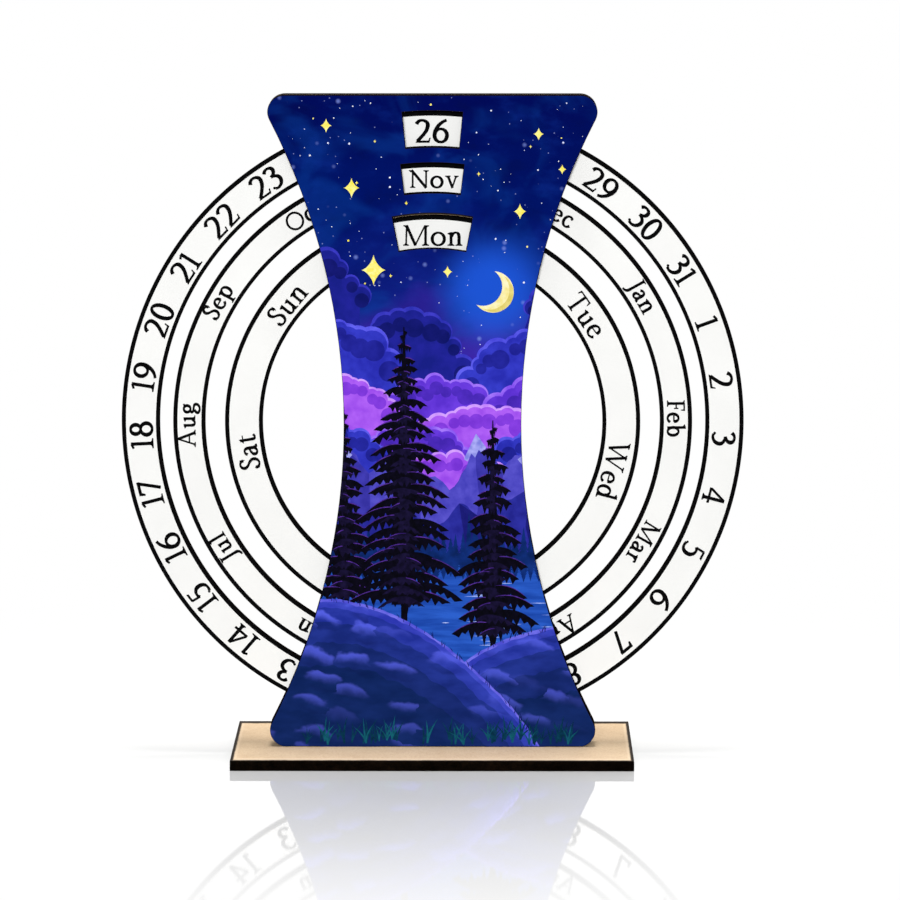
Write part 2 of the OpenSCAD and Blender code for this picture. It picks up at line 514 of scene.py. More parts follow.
def makeRingTree():
    # a flat ring: a filleted oblong carried along a circle round the axis, finished by which way it faces
    tree, given = newTree("sweptRing", {
        "Outer Radius": "Float", "Inner Radius": "Float", "Thickness": "Float", "Rounding": "Float",
        "Rounding Steps": "Int", "Segments": "Int", "Height": "Float", "Depth": "Float",
        "Face": "Material", "Edge": "Material", "Back": "Material",
    })
    outer, inner = given["Outer Radius"], given["Inner Radius"]
    middle = addNode(tree, "ShaderNodeMix", {0: 0.5, 2: outer, 3: inner})
    circle = addNode(tree, "GeometryNodeCurvePrimitiveCircle", {
        "Resolution": given["Segments"], "Radius": middle,
    })
    oblong = addNode(tree, "GeometryNodeCurvePrimitiveQuadrilateral", {
        "Width": addNode(tree, "ShaderNodeMath", [outer, inner], operation="SUBTRACT"),
        "Height": given["Thickness"],
    })
    fillet = addNode(tree, "GeometryNodeFilletCurve", {
        "Curve": oblong, "Radius": given["Rounding"], "Count": given["Rounding Steps"],
    }, mode="POLY")
    swept = addNode(tree, "GeometryNodeCurveToMesh", {"Curve": circle, "Profile Curve": fillet})
    upright = addNode(tree, "GeometryNodeTransform", {
        "Geometry": swept, "Rotation": (math.pi / 2, 0, 0),
        "Translation": addNode(tree, "ShaderNodeCombineXYZ", {"Y": given["Depth"], "Z": given["Height"]}),
    })
    facing = addNode(tree, "ShaderNodeSeparateXYZ", [addNode(tree, "GeometryNodeInputNormal")], "Y")
    front = addNode(tree, "ShaderNodeMath", [facing, -0.995], operation="LESS_THAN")
    back = addNode(tree, "ShaderNodeMath", [facing, 0.995], operation="GREATER_THAN")
    flat = addNode(tree, "ShaderNodeMath", [front, back], operation="ADD")
    edge = addNode(tree, "ShaderNodeMath", [flat, 0.5], operation="LESS_THAN")
    soft = addNode(tree, "GeometryNodeSetShadeSmooth", {"Geometry": upright, "Shade Smooth": edge})
    return closeTree(tree, soft, (given["Edge"], True), (given["Face"], front), (given["Back"], back))


# sizes in millimetres; askew words have moved round their ring and tilted, in degrees, and moved outwards
rings = {
    "round": 0.12, "roundSteps": 3, "segments": 360,
    "border": {"outer": 1.28, "inner": 1.17}, "ink": 0.04, "bite": 0.02, "inkRound": 0.01,
    "date": {"letters": 7.0, "bold": 0.028, "middle": 87.15, "start": 25, "turn": 0.3,
             "askew": {"26": (-0.4, 0, 0)}, "words": [str(n) for n in range(1, 32)]},
    "month": {"letters": 5.3, "bold": 0.03, "middle": 72.85, "start": 10, "turn": 0.0,
              "askew": {"Jan": (-1.2, 2.0, -0.4), "Feb": (-0.9, 0, 0), "Apr": (-0.8, 0, 0),
                        "Jun": (-0.8, 0, -0.3), "Jul": (-1.2, 0, 0), "Aug": (-0.7, 0, 0),
                        "Sep": (-0.5, 0, 0.1), "Oct": (-1.7, 0, 0), "Nov": (0.3, 0, 0),
                        "Dec": (0.2, 0, 0.25)},
              "words": "Jan Feb Mar Apr May Jun Jul Aug Sep Oct Nov Dec".split()},
    "weekday": {"letters": 6.15, "bold": 0.012, "middle": 56.05, "start": 0, "turn": 0.1,
                "askew": {"Tue": (3.4, 0, 0), "Wed": (2.0, 0, 0), "Sat": (3.4, 0, 0), "Sun": (0.6, 0, 0)},
                "words": "Mon Tue Wed Thu Fri Sat Sun".split()},
}


def makeRings(ringTree):
    for node in ("date_ring", "month_ring", "weekday_ring"):
        outer, inner, front, back = ringSize(node)
        common = {"Rounding Steps": rings["roundSteps"], "Segments": rings["segments"], "Height": axisHeight}
        band = grow(node + "_board", ringTree, {
            **common, "Outer Radius": outer, "Inner Radius": inner, "Thickness": back - front,
            "Rounding": rings["round"] * mm, "Depth": (front + back) / 2,
            "Face": whiteCoat, "Edge": charredEdge, "Back": ringBack,
        })
        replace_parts(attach(band, node), node)
        thick = (rings["ink"] + rings["bite"]) * mm
        for side, rim, inward in (("outer", outer, -1), ("inner", inner, 1)):
            reach = [rim + inward * width * mm for width in (rings["round"], rings["border"][side])]
            border = grow(f"{node}_{side}_line", ringTree, {
                **common, "Outer Radius": max(reach), "Inner Radius": min(reach), "Thickness": thick,
                "Rounding": rings["inkRound"] * mm, "Rounding Steps": 1,
                "Depth": front - rings["ink"] * mm + thick / 2,
                "Face": blackInk, "Edge": blackInk, "Back": blackInk,
            })
            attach(border, node)


print("rings")
makeRings(makeRingTree())


# lettering

# sizes in cap heights; a letter is a list of small closed shapes that fillLoops joins into one
pen = {"thick": 0.148, "thin": 0.088, "stem": 0.13, "hair": 0.055, "bold": 0.0, "reach": 0.1, "gap": 0.07,
       "bracket": 0.12, "steps": 5, "ovalSteps": 30, "small": 0.665}


def smoothPath(points, steps):
    # a curve through all of the points
    last = len(points) - 1
    path = []
    for i in range(last):
        near = [points[min(max(k, 0), last)] for k in range(i - 1, i + 3)]
        for s in range(steps):
            t = s / steps
            weights = (-t + 2 * t ** 2 - t ** 3, 2 - 5 * t ** 2 + 3 * t ** 3,
                       t + 4 * t ** 2 - 3 * t ** 3, -t ** 2 + t ** 3)
            path.append(tuple(sum(w * p[axis] for w, p in zip(weights, near)) / 2 for axis in (0, 1)))
    return path + [points[-1]]


def penWidth(dx, dy):
    # a broad pen: down strokes are thick and level ones thin
    steep = abs(dy) / max(1e-9, math.hypot(dx, dy))
    return pen["thin"] + (pen["thick"] - pen["thin"]) * steep ** 1.5


def roundUp(corners):
    # puts four corners in order round their middle, so that a tight turn of the pen never crosses itself
    middle = [sum(c[axis] for c in corners) / len(corners) for axis in (0, 1)]
    return sorted(corners, key=lambda c: math.atan2(c[1] - middle[1], c[0] - middle[0]))


def stroke(path, closed=False, width=None):
    # one pen stroke as a chain of four-sided shapes
    count = len(path)
    sides = []
    for i, (x, y) in enumerate(path):
        a = path[(i - 1) % count] if closed else path[max(i - 1, 0)]
        b = path[(i + 1) % count] if closed else path[min(i + 1, count - 1)]
        dx, dy = b[0] - a[0], b[1] - a[1]
        half = ((width or penWidth(dx, dy)) + pen["bold"]) / 2 / math.hypot(dx, dy)
        sides.append(((x - dy * half, y + dx * half), (x + dy * half, y - dx * half)))
    pairs = zip(sides, sides[1:] + sides[:1]) if closed else zip(sides, sides[1:])
    return [roundUp([a[0], b[0], b[1], a[1]]) for a, b in pairs]


def curve(*points):
    return stroke(smoothPath(points, pen["steps"]))


def line(a, b, width=None):
    return stroke([a, b], width=width)


def disc(x, y, r, sides=16):
    turns = [2 * math.pi * k / sides for k in range(sides)]
    return [[(x + r * math.cos(t), y + r * math.sin(t)) for t in turns]]


def oval(x, y, rx, ry, width=None):
    turns = [2 * math.pi * k / pen["ovalSteps"] for k in range(pen["ovalSteps"])]
    return stroke([(x + rx * math.cos(t), y + ry * math.sin(t)) for t in turns], closed=True, width=width)


def box(x0, y0, x1, y1):
    return [[(x0, y0), (x1, y0), (x1, y1), (x0, y1)]]


def bar(x0, y0, x1, y1):
    grown = pen["bold"] / 2
    return box(x0 - grown, y0 - grown, x1 + grown, y1 + grown)


def serif(x, y, way=1, left=1.0, right=1.0, width=None):
    # the bracketed foot of a stem: way is 1 at its foot and -1 at its head
    half = ((width or pen["stem"]) + pen["bold"]) / 2
    start, end = x - half - pen["reach"] * left, x + half + pen["reach"] * right
    tip, bend, top = [y + way * rise for rise in (pen["hair"], pen["hair"] + 0.02, pen["bracket"])]
    return [[(start, y), (end, y), (end, tip), (x + half + 0.03 * right, bend), (x + half, top),
             (x - half, top), (x - half - 0.03 * left, bend), (start, tip)]]


def flag(x, y):
    # the slanted head of a small letter's stem
    half = (pen["stem"] + pen["bold"]) / 2
    return [[(x - half - 0.1, y - 0.085), (x - half - 0.09, y - 0.045), (x + half, y + 0.015),
             (x + half, y - 0.15), (x - half, y - 0.15)]]


def stem(x, low, high, width=None):
    half = ((width or pen["stem"]) + pen["bold"]) / 2
    return box(x - half, low, x + half, high)


def drawLetters():
    # every letter's strokes at the pen's present boldness
    small = pen["small"]
    arch = curve((0.17, 0.44), (0.26, 0.585), (0.39, 0.645), (0.50, 0.60), (0.545, 0.46), (0.547, 0.25),
                 (0.547, 0.05))
    rightStem = stem(0.547, 0, 0.42) + serif(0.547, 0)
    smallStem = stem(0.16, 0, small) + flag(0.16, small) + serif(0.16, 0)
    tallStem = stem(0.16, 0, 1.05) + flag(0.16, 1.05)
    bowl = oval(0.375, 0.33, 0.225, 0.305)

    return {
        "0": oval(0.31, 0.5, 0.25, 0.47),
        "1": stem(0.25, 0, 0.97, 0.12) + serif(0.25, 0, left=1.4, right=1.4)
             + line((0.05, 0.855), (0.24, 0.945), 0.075),
        "2": curve((0.05, 0.79), (0.12, 0.895), (0.24, 0.955), (0.38, 0.94), (0.50, 0.86), (0.53, 0.72),
                   (0.46, 0.51), (0.30, 0.30), (0.08, 0.07))
             + [[(0, 0), (0.6, 0), (0.655, 0.215), (0.6, 0.225), (0.55, 0.098), (0.06, 0.098)]],
        "3": curve((0.05, 0.83), (0.14, 0.925), (0.27, 0.955), (0.41, 0.91), (0.465, 0.79), (0.40, 0.65),
                   (0.22, 0.56))
             + curve((0.22, 0.56), (0.38, 0.53), (0.515, 0.42), (0.53, 0.26), (0.43, 0.10), (0.26, 0.03),
                     (0.12, 0.055)) + disc(0.09, 0.10, 0.06),
        "4": line((0.445, 0.96), (0.045, 0.32), 0.08) + bar(0.02, 0.255, 0.67, 0.335)
             + stem(0.465, 0, 0.985, 0.12) + serif(0.465, 0, left=0.7, right=0.7),
        "5": [[(0.15, 0.885), (0.50, 0.885), (0.55, 0.985), (0.16, 0.985)]]
             + line((0.175, 0.95), (0.13, 0.55), 0.075)
             + curve((0.115, 0.555), (0.24, 0.61), (0.40, 0.57), (0.515, 0.42), (0.50, 0.20),
                     (0.385, 0.06), (0.23, 0.03), (0.09, 0.06)) + disc(0.07, 0.10, 0.055),
        "6": curve((0.60, 0.965), (0.42, 0.88), (0.25, 0.73), (0.12, 0.52), (0.08, 0.33))
             + oval(0.345, 0.31, 0.265, 0.28),
        "7": [[(0.04, 0.845), (0.64, 0.845), (0.64, 0.98), (0.03, 0.98)]]
             + [[(0.0, 0.715), (0.075, 0.705), (0.16, 0.86), (0.04, 0.98)]]
             + line((0.585, 0.94), (0.20, 0), 0.115),
        "8": oval(0.31, 0.735, 0.20, 0.215) + oval(0.31, 0.275, 0.25, 0.245),
        "9": oval(0.31, 0.66, 0.255, 0.28)
             + curve((0.06, 0.015), (0.25, 0.09), (0.42, 0.24), (0.54, 0.45), (0.575, 0.64)),
        "J": stem(0.25, 0, 1) + serif(0.25, 1, -1)
             + curve((0.25, 0.10), (0.245, -0.05), (0.19, -0.17), (0.08, -0.24), (-0.03, -0.25)),
        "F": stem(0.17, 0, 1) + serif(0.17, 0) + serif(0.17, 1, -1, right=0) + bar(0.17, 0.94, 0.58, 1)
             + [[(0.53, 0.78), (0.575, 0.78), (0.6, 1), (0.5, 0.95)]] + bar(0.17, 0.49, 0.46, 0.55)
             + bar(0.43, 0.41, 0.47, 0.63),
        "M": line((0.205, 0), (0.235, 0.97), 0.075) + serif(0.207, 0, width=0.075)
             + serif(0.24, 1, -1, right=0) + line((0.225, 1.0), (0.665, 0.01), 0.13)
             + line((0.65, 0.02), (1.12, 0.985), 0.068) + stem(1.15, 0, 1, 0.118) + serif(1.15, 0)
             + serif(1.15, 1, -1, left=0),
        "A": line((0.13, 0), (0.455, 0.98), 0.072) + line((0.455, 1.01), (0.83, 0), 0.13)
             + bar(0.23, 0.33, 0.68, 0.39) + serif(0.14, 0, width=0.07) + serif(0.82, 0, width=0.1),
        "S": curve((0.485, 0.79), (0.43, 0.91), (0.29, 0.965), (0.15, 0.90), (0.105, 0.76), (0.19, 0.61),
                   (0.36, 0.50), (0.48, 0.37), (0.49, 0.20), (0.39, 0.06), (0.24, 0.03), (0.11, 0.10),
                   (0.065, 0.23)) + bar(0.475, 0.73, 0.515, 0.97) + bar(0.04, 0.03, 0.08, 0.27),
        "O": oval(0.5, 0.5, 0.455, 0.472, 0.1),
        "N": stem(0.225, 0, 0.96, 0.075) + serif(0.225, 0, width=0.075)
             + serif(0.15, 1, -1, left=0.8, right=0, width=0.1) + line((0.15, 1.0), (0.99, 0.0), 0.128)
             + stem(0.975, 0.02, 1, 0.075) + serif(0.975, 1, -1, width=0.075),
        "D": stem(0.17, 0, 1) + serif(0.17, 0, right=0) + serif(0.17, 1, -1, right=0)
             + curve((0.17, 0.965), (0.45, 0.955), (0.69, 0.83), (0.79, 0.5), (0.69, 0.17), (0.45, 0.045),
                     (0.17, 0.035)),
        "T": stem(0.42, 0, 1) + serif(0.42, 0) + bar(0.05, 0.935, 0.79, 1)
             + [[(0.02, 0.77), (0.065, 0.77), (0.13, 0.95), (0.04, 1)]]
             + [[(0.82, 0.77), (0.775, 0.77), (0.71, 0.95), (0.8, 1)]],
        "W": line((0.13, 1), (0.44, 0.0), 0.125) + line((0.42, 0.02), (0.745, 0.97), 0.068)
             + line((0.70, 1), (1.01, 0.0), 0.125) + line((0.99, 0.02), (1.33, 0.98), 0.068)
             + serif(0.13, 1, -1, width=0.1) + serif(0.70, 1, -1, left=0.7, width=0.1)
             + serif(1.33, 1, -1, width=0.07),
        "a": curve((0.09, 0.52), (0.16, 0.61), (0.27, 0.645), (0.37, 0.59), (0.405, 0.46), (0.405, 0.28),
                   (0.41, 0.13)) + stem(0.405, 0.1, 0.46) + curve((0.41, 0.14), (0.46, 0.04), (0.56, 0.06))
             + curve((0.40, 0.395), (0.24, 0.35), (0.10, 0.25), (0.085, 0.12), (0.18, 0.035), (0.30, 0.06),
                     (0.40, 0.16)),
        "n": smallStem + arch + rightStem,
        "h": tallStem + serif(0.16, 0) + arch + rightStem,
        "e": bar(0.08, 0.355, 0.51, 0.41)
             + curve((0.505, 0.375), (0.48, 0.54), (0.34, 0.645), (0.16, 0.57), (0.075, 0.34),
                     (0.14, 0.12), (0.31, 0.03), (0.46, 0.08), (0.54, 0.17)),
        "b": tallStem + bowl + stem(0.16, 0.06, 0.3),
        "r": smallStem + curve((0.17, 0.44), (0.25, 0.58), (0.37, 0.635), (0.44, 0.60))
             + disc(0.435, 0.575, 0.052),
        "p": stem(0.16, -0.3, small) + flag(0.16, small) + serif(0.16, -0.3) + bowl,
        "y": line((0.11, 0.65), (0.375, 0.03), 0.115) + line((0.62, 0.65), (0.29, -0.14), 0.062)
             + curve((0.30, -0.12), (0.23, -0.23), (0.11, -0.26)) + disc(0.09, -0.245, 0.05)
             + serif(0.11, small, -1, width=0.09) + serif(0.62, small, -1, left=0.8, right=0.8, width=0.06),
        "u": stem(0.17, 0.2, small) + flag(0.17, small) + stem(0.55, 0, small) + flag(0.55, small)
             + curve((0.17, 0.24), (0.195, 0.10), (0.30, 0.04), (0.42, 0.08), (0.54, 0.20))
             + serif(0.55, 0, left=0),
        "l": tallStem + serif(0.16, 0),
        "g": oval(0.29, 0.455, 0.185, 0.19) + line((0.42, 0.60), (0.58, 0.645), 0.07)
             + curve((0.19, 0.30), (0.11, 0.21), (0.16, 0.12), (0.36, 0.085), (0.52, 0.03), (0.54, -0.11),
                     (0.41, -0.23), (0.22, -0.25), (0.08, -0.17), (0.10, -0.05), (0.24, 0.05)),
        "c": curve((0.475, 0.53), (0.42, 0.615), (0.30, 0.645), (0.15, 0.56), (0.075, 0.34), (0.14, 0.12),
                   (0.30, 0.03), (0.44, 0.08), (0.52, 0.17)) + disc(0.465, 0.54, 0.055),
        "t": stem(0.19, 0.14, 0.78)
             + [[(0.02, 0.61), (0.43, 0.61), (0.43, 0.665), (0.245, 0.665), (0.245, 0.85)]]
             + curve((0.19, 0.2), (0.215, 0.07), (0.31, 0.035), (0.42, 0.10)),
        "o": oval(0.36, 0.335, 0.295, 0.305),
        "v": line((0.12, 0.69), (0.385, 0.0), 0.118) + line((0.365, 0.03), (0.59, 0.69), 0.068)
             + serif(0.12, 0.7, -1, width=0.09) + serif(0.595, 0.7, -1, left=0.9, right=0.9, width=0.06),
        "d": oval(0.305, 0.33, 0.225, 0.305) + stem(0.53, 0, 1.05) + flag(0.53, 1.05)
             + serif(0.53, 0, left=0),
        "i": stem(0.17, 0, small) + flag(0.17, small) + serif(0.17, 0) + disc(0.17, 0.90, 0.075),
    }


def turned(u, v, angle):
    # a point of the upright plane turned clockwise
    return u * math.cos(angle) + v * math.sin(angle), v * math.cos(angle) - u * math.sin(angle)


def setWord(name, word, spec, letters, solidLetters):
    # one word about the origin, centred by its own height, and askew where its ring says so
    slide, tilt, lift = spec["askew"].get(word, (0, 0, 0))
    placed, heights, cursor = [], [], 0.0
    for letter in word:
        shapes = letters[letter]
        left = min(p[0] for shape in shapes for p in shape)
        right = max(p[0] for shape in shapes for p in shape)
        heights += [p[1] for shape in shapes for p in shape]
        if letter not in solidLetters:
            solidLetters[letter] = fillLoops(shapes, bool)
        placed.append((letter, cursor - left))
        cursor += right - left + pen["gap"]
    middle = (cursor - pen["gap"]) / 2
    level = (min(heights) + max(heights)) / 2
    verts, faces = [], []
    for letter, shift in placed:
        places, triangles = solidLetters[letter]
        moved = []
        for x, y in places:
            u, v = (x + shift - middle) * spec["letters"], (y - level) * spec["letters"]
            u, v = turned(u, v, math.radians(tilt))
            u, v = turned(u, v + lift + spec["middle"], math.radians(spec["turn"] + slide))
            moved.append((u, v - spec["middle"]))
        more, shapes = thickenTriangles(moved, triangles, -rings["ink"], rings["bite"])
        faces += [[i + len(verts) for i in face] for face in shapes]
        verts += more
    return meshObject(name, verts, faces)


def makeLabelTree():
    # words stood round a ring: one point for each, turned to face outwards, and the word of its number on it
    tree, given = newTree("wordsRoundRing", {
        "Words": "Collection", "Count": "Int", "First At Top": "Int", "Radius": "Float",
        "Height": "Float", "Depth": "Float", "Ink": "Material",
    })
    index = addNode(tree, "GeometryNodeInputIndex")
    ahead = addNode(tree, "ShaderNodeMath", [index, given["First At Top"]], operation="SUBTRACT")
    step = addNode(tree, "ShaderNodeMath", [2 * math.pi, given["Count"]], operation="DIVIDE")
    angle = addNode(tree, "ShaderNodeMath", [ahead, step], operation="MULTIPLY")
    sine = addNode(tree, "ShaderNodeMath", [angle], operation="SINE")
    cosine = addNode(tree, "ShaderNodeMath", [angle], operation="COSINE")
    place = addNode(tree, "ShaderNodeCombineXYZ", [
        addNode(tree, "ShaderNodeMath", [sine, given["Radius"]], operation="MULTIPLY"), given["Depth"],
        addNode(tree, "ShaderNodeMath", [cosine, given["Radius"], given["Height"]], operation="MULTIPLY_ADD"),
    ])
    stood = addNode(tree, "GeometryNodeInstanceOnPoints", {
        "Points": addNode(tree, "GeometryNodePoints", {"Count": given["Count"], "Position": place}),
        "Instance": addNode(tree, "GeometryNodeCollectionInfo", {
            "Collection": given["Words"], "Separate Children": True, "Reset Children": True,
        }),
        "Pick Instance": True, "Instance Index": index,
        "Rotation": addNode(tree, "ShaderNodeCombineXYZ", {"Y": angle}),
    })
    return closeTree(tree, stood, (given["Ink"], True))


def makeLettering(labelTree):
    for kind in ("date", "month", "weekday"):
        spec, node = rings[kind], kind + "_ring"
        pen["bold"] = spec["bold"]
        letters, solidLetters = drawLetters(), {}
        words = [setWord(f"{kind}Word{i:02d}", word, spec, letters, solidLetters)
                 for i, word in enumerate(spec["words"])]
        lettering = grow(node + "_lettering", labelTree, {
            "Words": words, "Count": len(words), "First At Top": spec["start"], "Radius": spec["middle"] * mm,
            "Height": axisHeight, "Depth": ringSize(node)[2], "Ink": blackInk,
        })
        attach(lettering, node)


print("lettering")
makeLettering(makeLabelTree())


# boards

# how far a cut edge is rounded, and where rows of points lie beside a panel's, in millimetres
cutEdge = {"round": 0.12, "steps": 3}
scorchRows = (0.7, 1.8)

# the night picture on the front board, in millimetres about the rings' axis
picture = {
    "moon": (18.0, 39.5), "moonRadius": 6.2, "glow": 22.0, "drift": 36, "reach": 98.0,
    "cloudFoot": -40, "shore": -42.0, "bankFoot": -130.0, "seed": 7,
    "firstLift": 0.01, "lift": 0.003, "strewnRoom": 10, "footGap": 0.25, "burn": 0.2, "lap": 0.06,
}


def makeNightPrint():
    # ultraviolet-cured print on white primer, satin: cloudy drifts of navy and blue, violet near the middle
    material, tree, shader = newMaterial("printedNightSky")
    point = objectPoint(tree, (0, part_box("front_panel")[0].y, axisHeight))
    across, _, above = addNode(tree, "ShaderNodeSeparateXYZ", [point], None)
    drift = grain(tree, point, 26, detail=4.0, stretch=(1.3, 1, 1), warp=0.5)
    sway = [drift, picture["drift"], -picture["drift"] / 2]
    sway = addNode(tree, "ShaderNodeMath", sway, operation="MULTIPLY_ADD")
    height = addNode(tree, "ShaderNodeMath", [above, sway], operation="ADD")
    place = addNode(tree, "ShaderNodeMapRange", [height, -picture["reach"], picture["reach"]])
    colour = addNode(tree, "ShaderNodeValToRGB", [place], stops=[
        (0.0, "#061a4c"), (0.3, "#1d2f96"), (0.44, "#5234b8"), (0.54, "#4827b2"), (0.62, "#36229c"),
        (0.70, "#0d1c7c"), (0.84, "#001262"), (1.0, "#000853"),
    ])
    puff = grain(tree, point, 9.0, detail=5.0, roughness=0.55, stretch=(1.5, 1, 0.9))
    haze = grain(tree, point, 19.0, stretch=(1.2, 1, 1), warp=1.2)
    colour = overlay(tree, colour, "#020a44", puff, 0.5, 0.3, 0.4, "SMOOTHSTEP")
    colour = overlay(tree, colour, "#1c46c0", puff, 0.5, 0.75, 0.16, "SMOOTHSTEP")
    colour = overlay(tree, colour, "#0c3f9c", haze, 0.46, 0.68, 0.3, "SMOOTHSTEP")
    fromMoon = [addNode(tree, "ShaderNodeMath", [a, m], operation="SUBTRACT")
                for a, m in zip((across, above), picture["moon"])]
    fromMoon = addNode(tree, "ShaderNodeCombineXYZ", fromMoon)
    reach = addNode(tree, "ShaderNodeVectorMath", [fromMoon], "Value", operation="LENGTH")
    full = picture["moonRadius"] * 0.6
    colour = overlay(tree, colour, "#1f5be0", reach, picture["glow"], full, 0.78, "SMOOTHERSTEP")
    for size, code, start, end, amount, fade in ((2.6, "#a9b4f2", 0.085, 0.05, 0.5, "LINEAR"),
                                                 (6.5, "#7f94e8", 0.15, 0.02, 0.55, "SMOOTHSTEP")):
        dust = addNode(tree, "ShaderNodeMapping", {"Vector": point, "Scale": [1 / size] * 3})
        dust = addNode(tree, "ShaderNodeTexVoronoi", {"Vector": dust, "Scale": 1.0})
        colour = overlay(tree, colour, code, dust, start, end, amount, fade)
    rim = addNode(tree, "ShaderNodeAttribute", out="Fac", attribute_name="edgeGap")
    burnt = addNode(tree, "ShaderNodeMapRange", [rim, picture["burn"], picture["burn"] * 0.8])
    soot = addNode(tree, "ShaderNodeMix", {
        0: grain(tree, point, 1.5, detail=2.0), 6: fromHex("#131118"), 7: fromHex("#2b2830"),
    }, 2, data_type="RGBA")
    mottle = grain(tree, point, 1.1, detail=2.0)
    colour = addNode(tree, "ShaderNodeMix", {0: burnt, 6: colour, 7: soot}, 2, data_type="RGBA")
    finishSurface(tree, shader, colour, (mottle, 0.5, 0.62), (mottle, 0.01, 0.3), 0.03)
    return material


print("boards")
sandedBoard = makeBareFibreboard("sandedBaseBoard", "base")
for node, lay, slot, rows, face, back in (
        ("base", "top", "base_board", (), sandedBoard, sandedBoard),
        ("back_panel", "front", "bare_board", scorchRows, bareBoard, bareBoard),
        ("front_panel", "front", "printed_board", scorchRows, makeNightPrint(), bareBoard)):
    cutBoard(node + "_board", node, lay, {**cutEdge, "slot": slot, "rows": rows}, [face, charredEdge, back])


# picture

panelLoops = rimLoops("front_panel", "front")[0]
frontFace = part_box("front_panel")[0].y / mm
footLine = (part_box("base")[1].z - axisHeight) / mm + picture["footGap"]
inkLevels = iter(range(1000))


def cutToPanel(shapes, holes=(), margin=0.0):
    # the part of some shapes that lies on the board's face, clear of its windows and of the tabs in the base
    rims = [inset(loop, picture["burn"] - picture["lap"] + margin) for loop in panelLoops]
    board = {k for k, loop in enumerate(rims) if signedArea(loop) > 0}
    drawn = set(range(len(rims), len(rims) + len(shapes)))
    tabs = box(-99, picture["bankFoot"], 99, footLine)
    return fillLoops([*rims, *shapes, *holes, *tabs],
                     lambda inside: inside & board and inside & drawn and inside <= board | drawn)


def nextLift(room=1):
    # how far the next layer of ink stands out, with room under it for so many more
    level = [next(inkLevels) for _ in range(room)][-1]
    return picture["firstLift"] + picture["lift"] * level


def layInk(name, layers):
    # each layer is (shapes, ink, holes): thin closed shapes of ink, one over the other, as one piece
    verts, faces, slots, inksUsed = [], [], [], []
    for shapes, ink, *holes in layers:
        if ink not in inksUsed:
            inksUsed.append(ink)
        places, triangles = cutToPanel(shapes, *holes)
        lift = nextLift()
        more, shapeFaces = thickenTriangles(places, triangles, frontFace - lift, frontFace + lift / 2)
        faces += [[i + len(verts) for i in face] for face in shapeFaces]
        slots += [inksUsed.index(ink)] * len(shapeFaces)
        verts += more
    piece = meshObject(name, [(x, y, z + axisHeight) for x, y, z in verts], faces, inksUsed, slots)
    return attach(piece, "stand")


def makeScatterTree():
    # motifs strewn over a flat field, each of its own size and lean, and a hair in front of the one before
    tree, given = newTree("strewnMotifs", {
        "Field": "Geometry", "Motifs": "Collection", "Kinds": "Int", "Density": "Float", "Smallest": "Float",
        "Largest": "Float", "Lean": "Float", "Room": "Float", "Seed": "Int", "Ink": "Material",
    })
    points = addNode(tree, "GeometryNodeDistributePointsOnFaces", {
        "Mesh": given["Field"], "Density": given["Density"], "Seed": given["Seed"],
    })
    count = addNode(tree, "GeometryNodeAttributeDomainSize", [points], "Point Count", component="POINTCLOUD")
    index = addNode(tree, "GeometryNodeInputIndex")
    rank = addNode(tree, "ShaderNodeMath", [index, count], operation="DIVIDE")
    shift = addNode(tree, "ShaderNodeMath", [given["Room"], -1], operation="MULTIPLY")
    shift = addNode(tree, "ShaderNodeMath", [rank, shift], operation="MULTIPLY")
    seeds = [given["Seed"]]
    seeds += [addNode(tree, "ShaderNodeMath", [given["Seed"], more], operation="ADD") for more in (1, 2)]
    most = addNode(tree, "ShaderNodeMath", [given["Kinds"], 1], operation="SUBTRACT")
    kind = addNode(tree, "FunctionNodeRandomValue", {"Max": most, "Seed": seeds[0]}, 2, data_type="INT")
    size = addNode(tree, "FunctionNodeRandomValue", {
        2: given["Smallest"], 3: given["Largest"], "Seed": seeds[1],
    }, 1)
    lean = addNode(tree, "FunctionNodeRandomValue", {
        2: addNode(tree, "ShaderNodeMath", [given["Lean"], -1], operation="MULTIPLY"), 3: given["Lean"],
        "Seed": seeds[2],
    }, 1)
    strewn = addNode(tree, "GeometryNodeInstanceOnPoints", {
        "Points": addNode(tree, "GeometryNodeSetPosition", {
            "Geometry": points, "Offset": addNode(tree, "ShaderNodeCombineXYZ", {"Y": shift}),
        }),
        "Instance": addNode(tree, "GeometryNodeCollectionInfo", {
            "Collection": given["Motifs"], "Separate Children": True, "Reset Children": True,
        }),
        "Pick Instance": True, "Instance Index": kind,
        "Rotation": addNode(tree, "ShaderNodeCombineXYZ", {"Y": lean}),
        "Scale": addNode(tree, "ShaderNodeCombineXYZ", [size, 1.0, size]),
    })
    return closeTree(tree, strewn, (given["Ink"], True))


def strew(name, tree, shapes, motifs, ink, spec, holes=()):
    # motifs are lists of outlines about one millimetre large, strewn over shapes on the board
    places, triangles = cutToPanel(shapes, holes, spec["margin"])
    low, high = nextLift(), nextLift(picture["strewnRoom"])
    depth = (frontFace - low) * mm
    field = meshObject(name, [(x * mm, depth, y * mm + axisHeight) for x, y in places], triangles)
    kinds = []
    for i, motif in enumerate(motifs):
        flat, corners = fillLoops(motif, bool)
        kinds.append(meshObject(f"{name}Motif{i}", *thickenTriangles(flat, corners, 0, high * 1.2)))
    piece = grow(name, tree, {
        "Motifs": kinds, "Kinds": len(kinds), "Density": spec["perSquareCentimetre"] * 1e4,
        "Smallest": spec["size"][0], "Largest": spec["size"][1], "Lean": spec["lean"],
        "Room": (high - low) * mm, "Seed": spec["seed"], "Ink": ink,
    }, field)
    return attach(piece, "stand")


def sparkle(x, y, reach):
    # a four-pointed star: an astroid, a little taller than wide
    turns = [2 * math.pi * k / 40 for k in range(40)]
    return [(x + 0.85 * reach * math.cos(t) ** 3, y + 1.1 * reach * math.sin(t) ** 3) for t in turns]


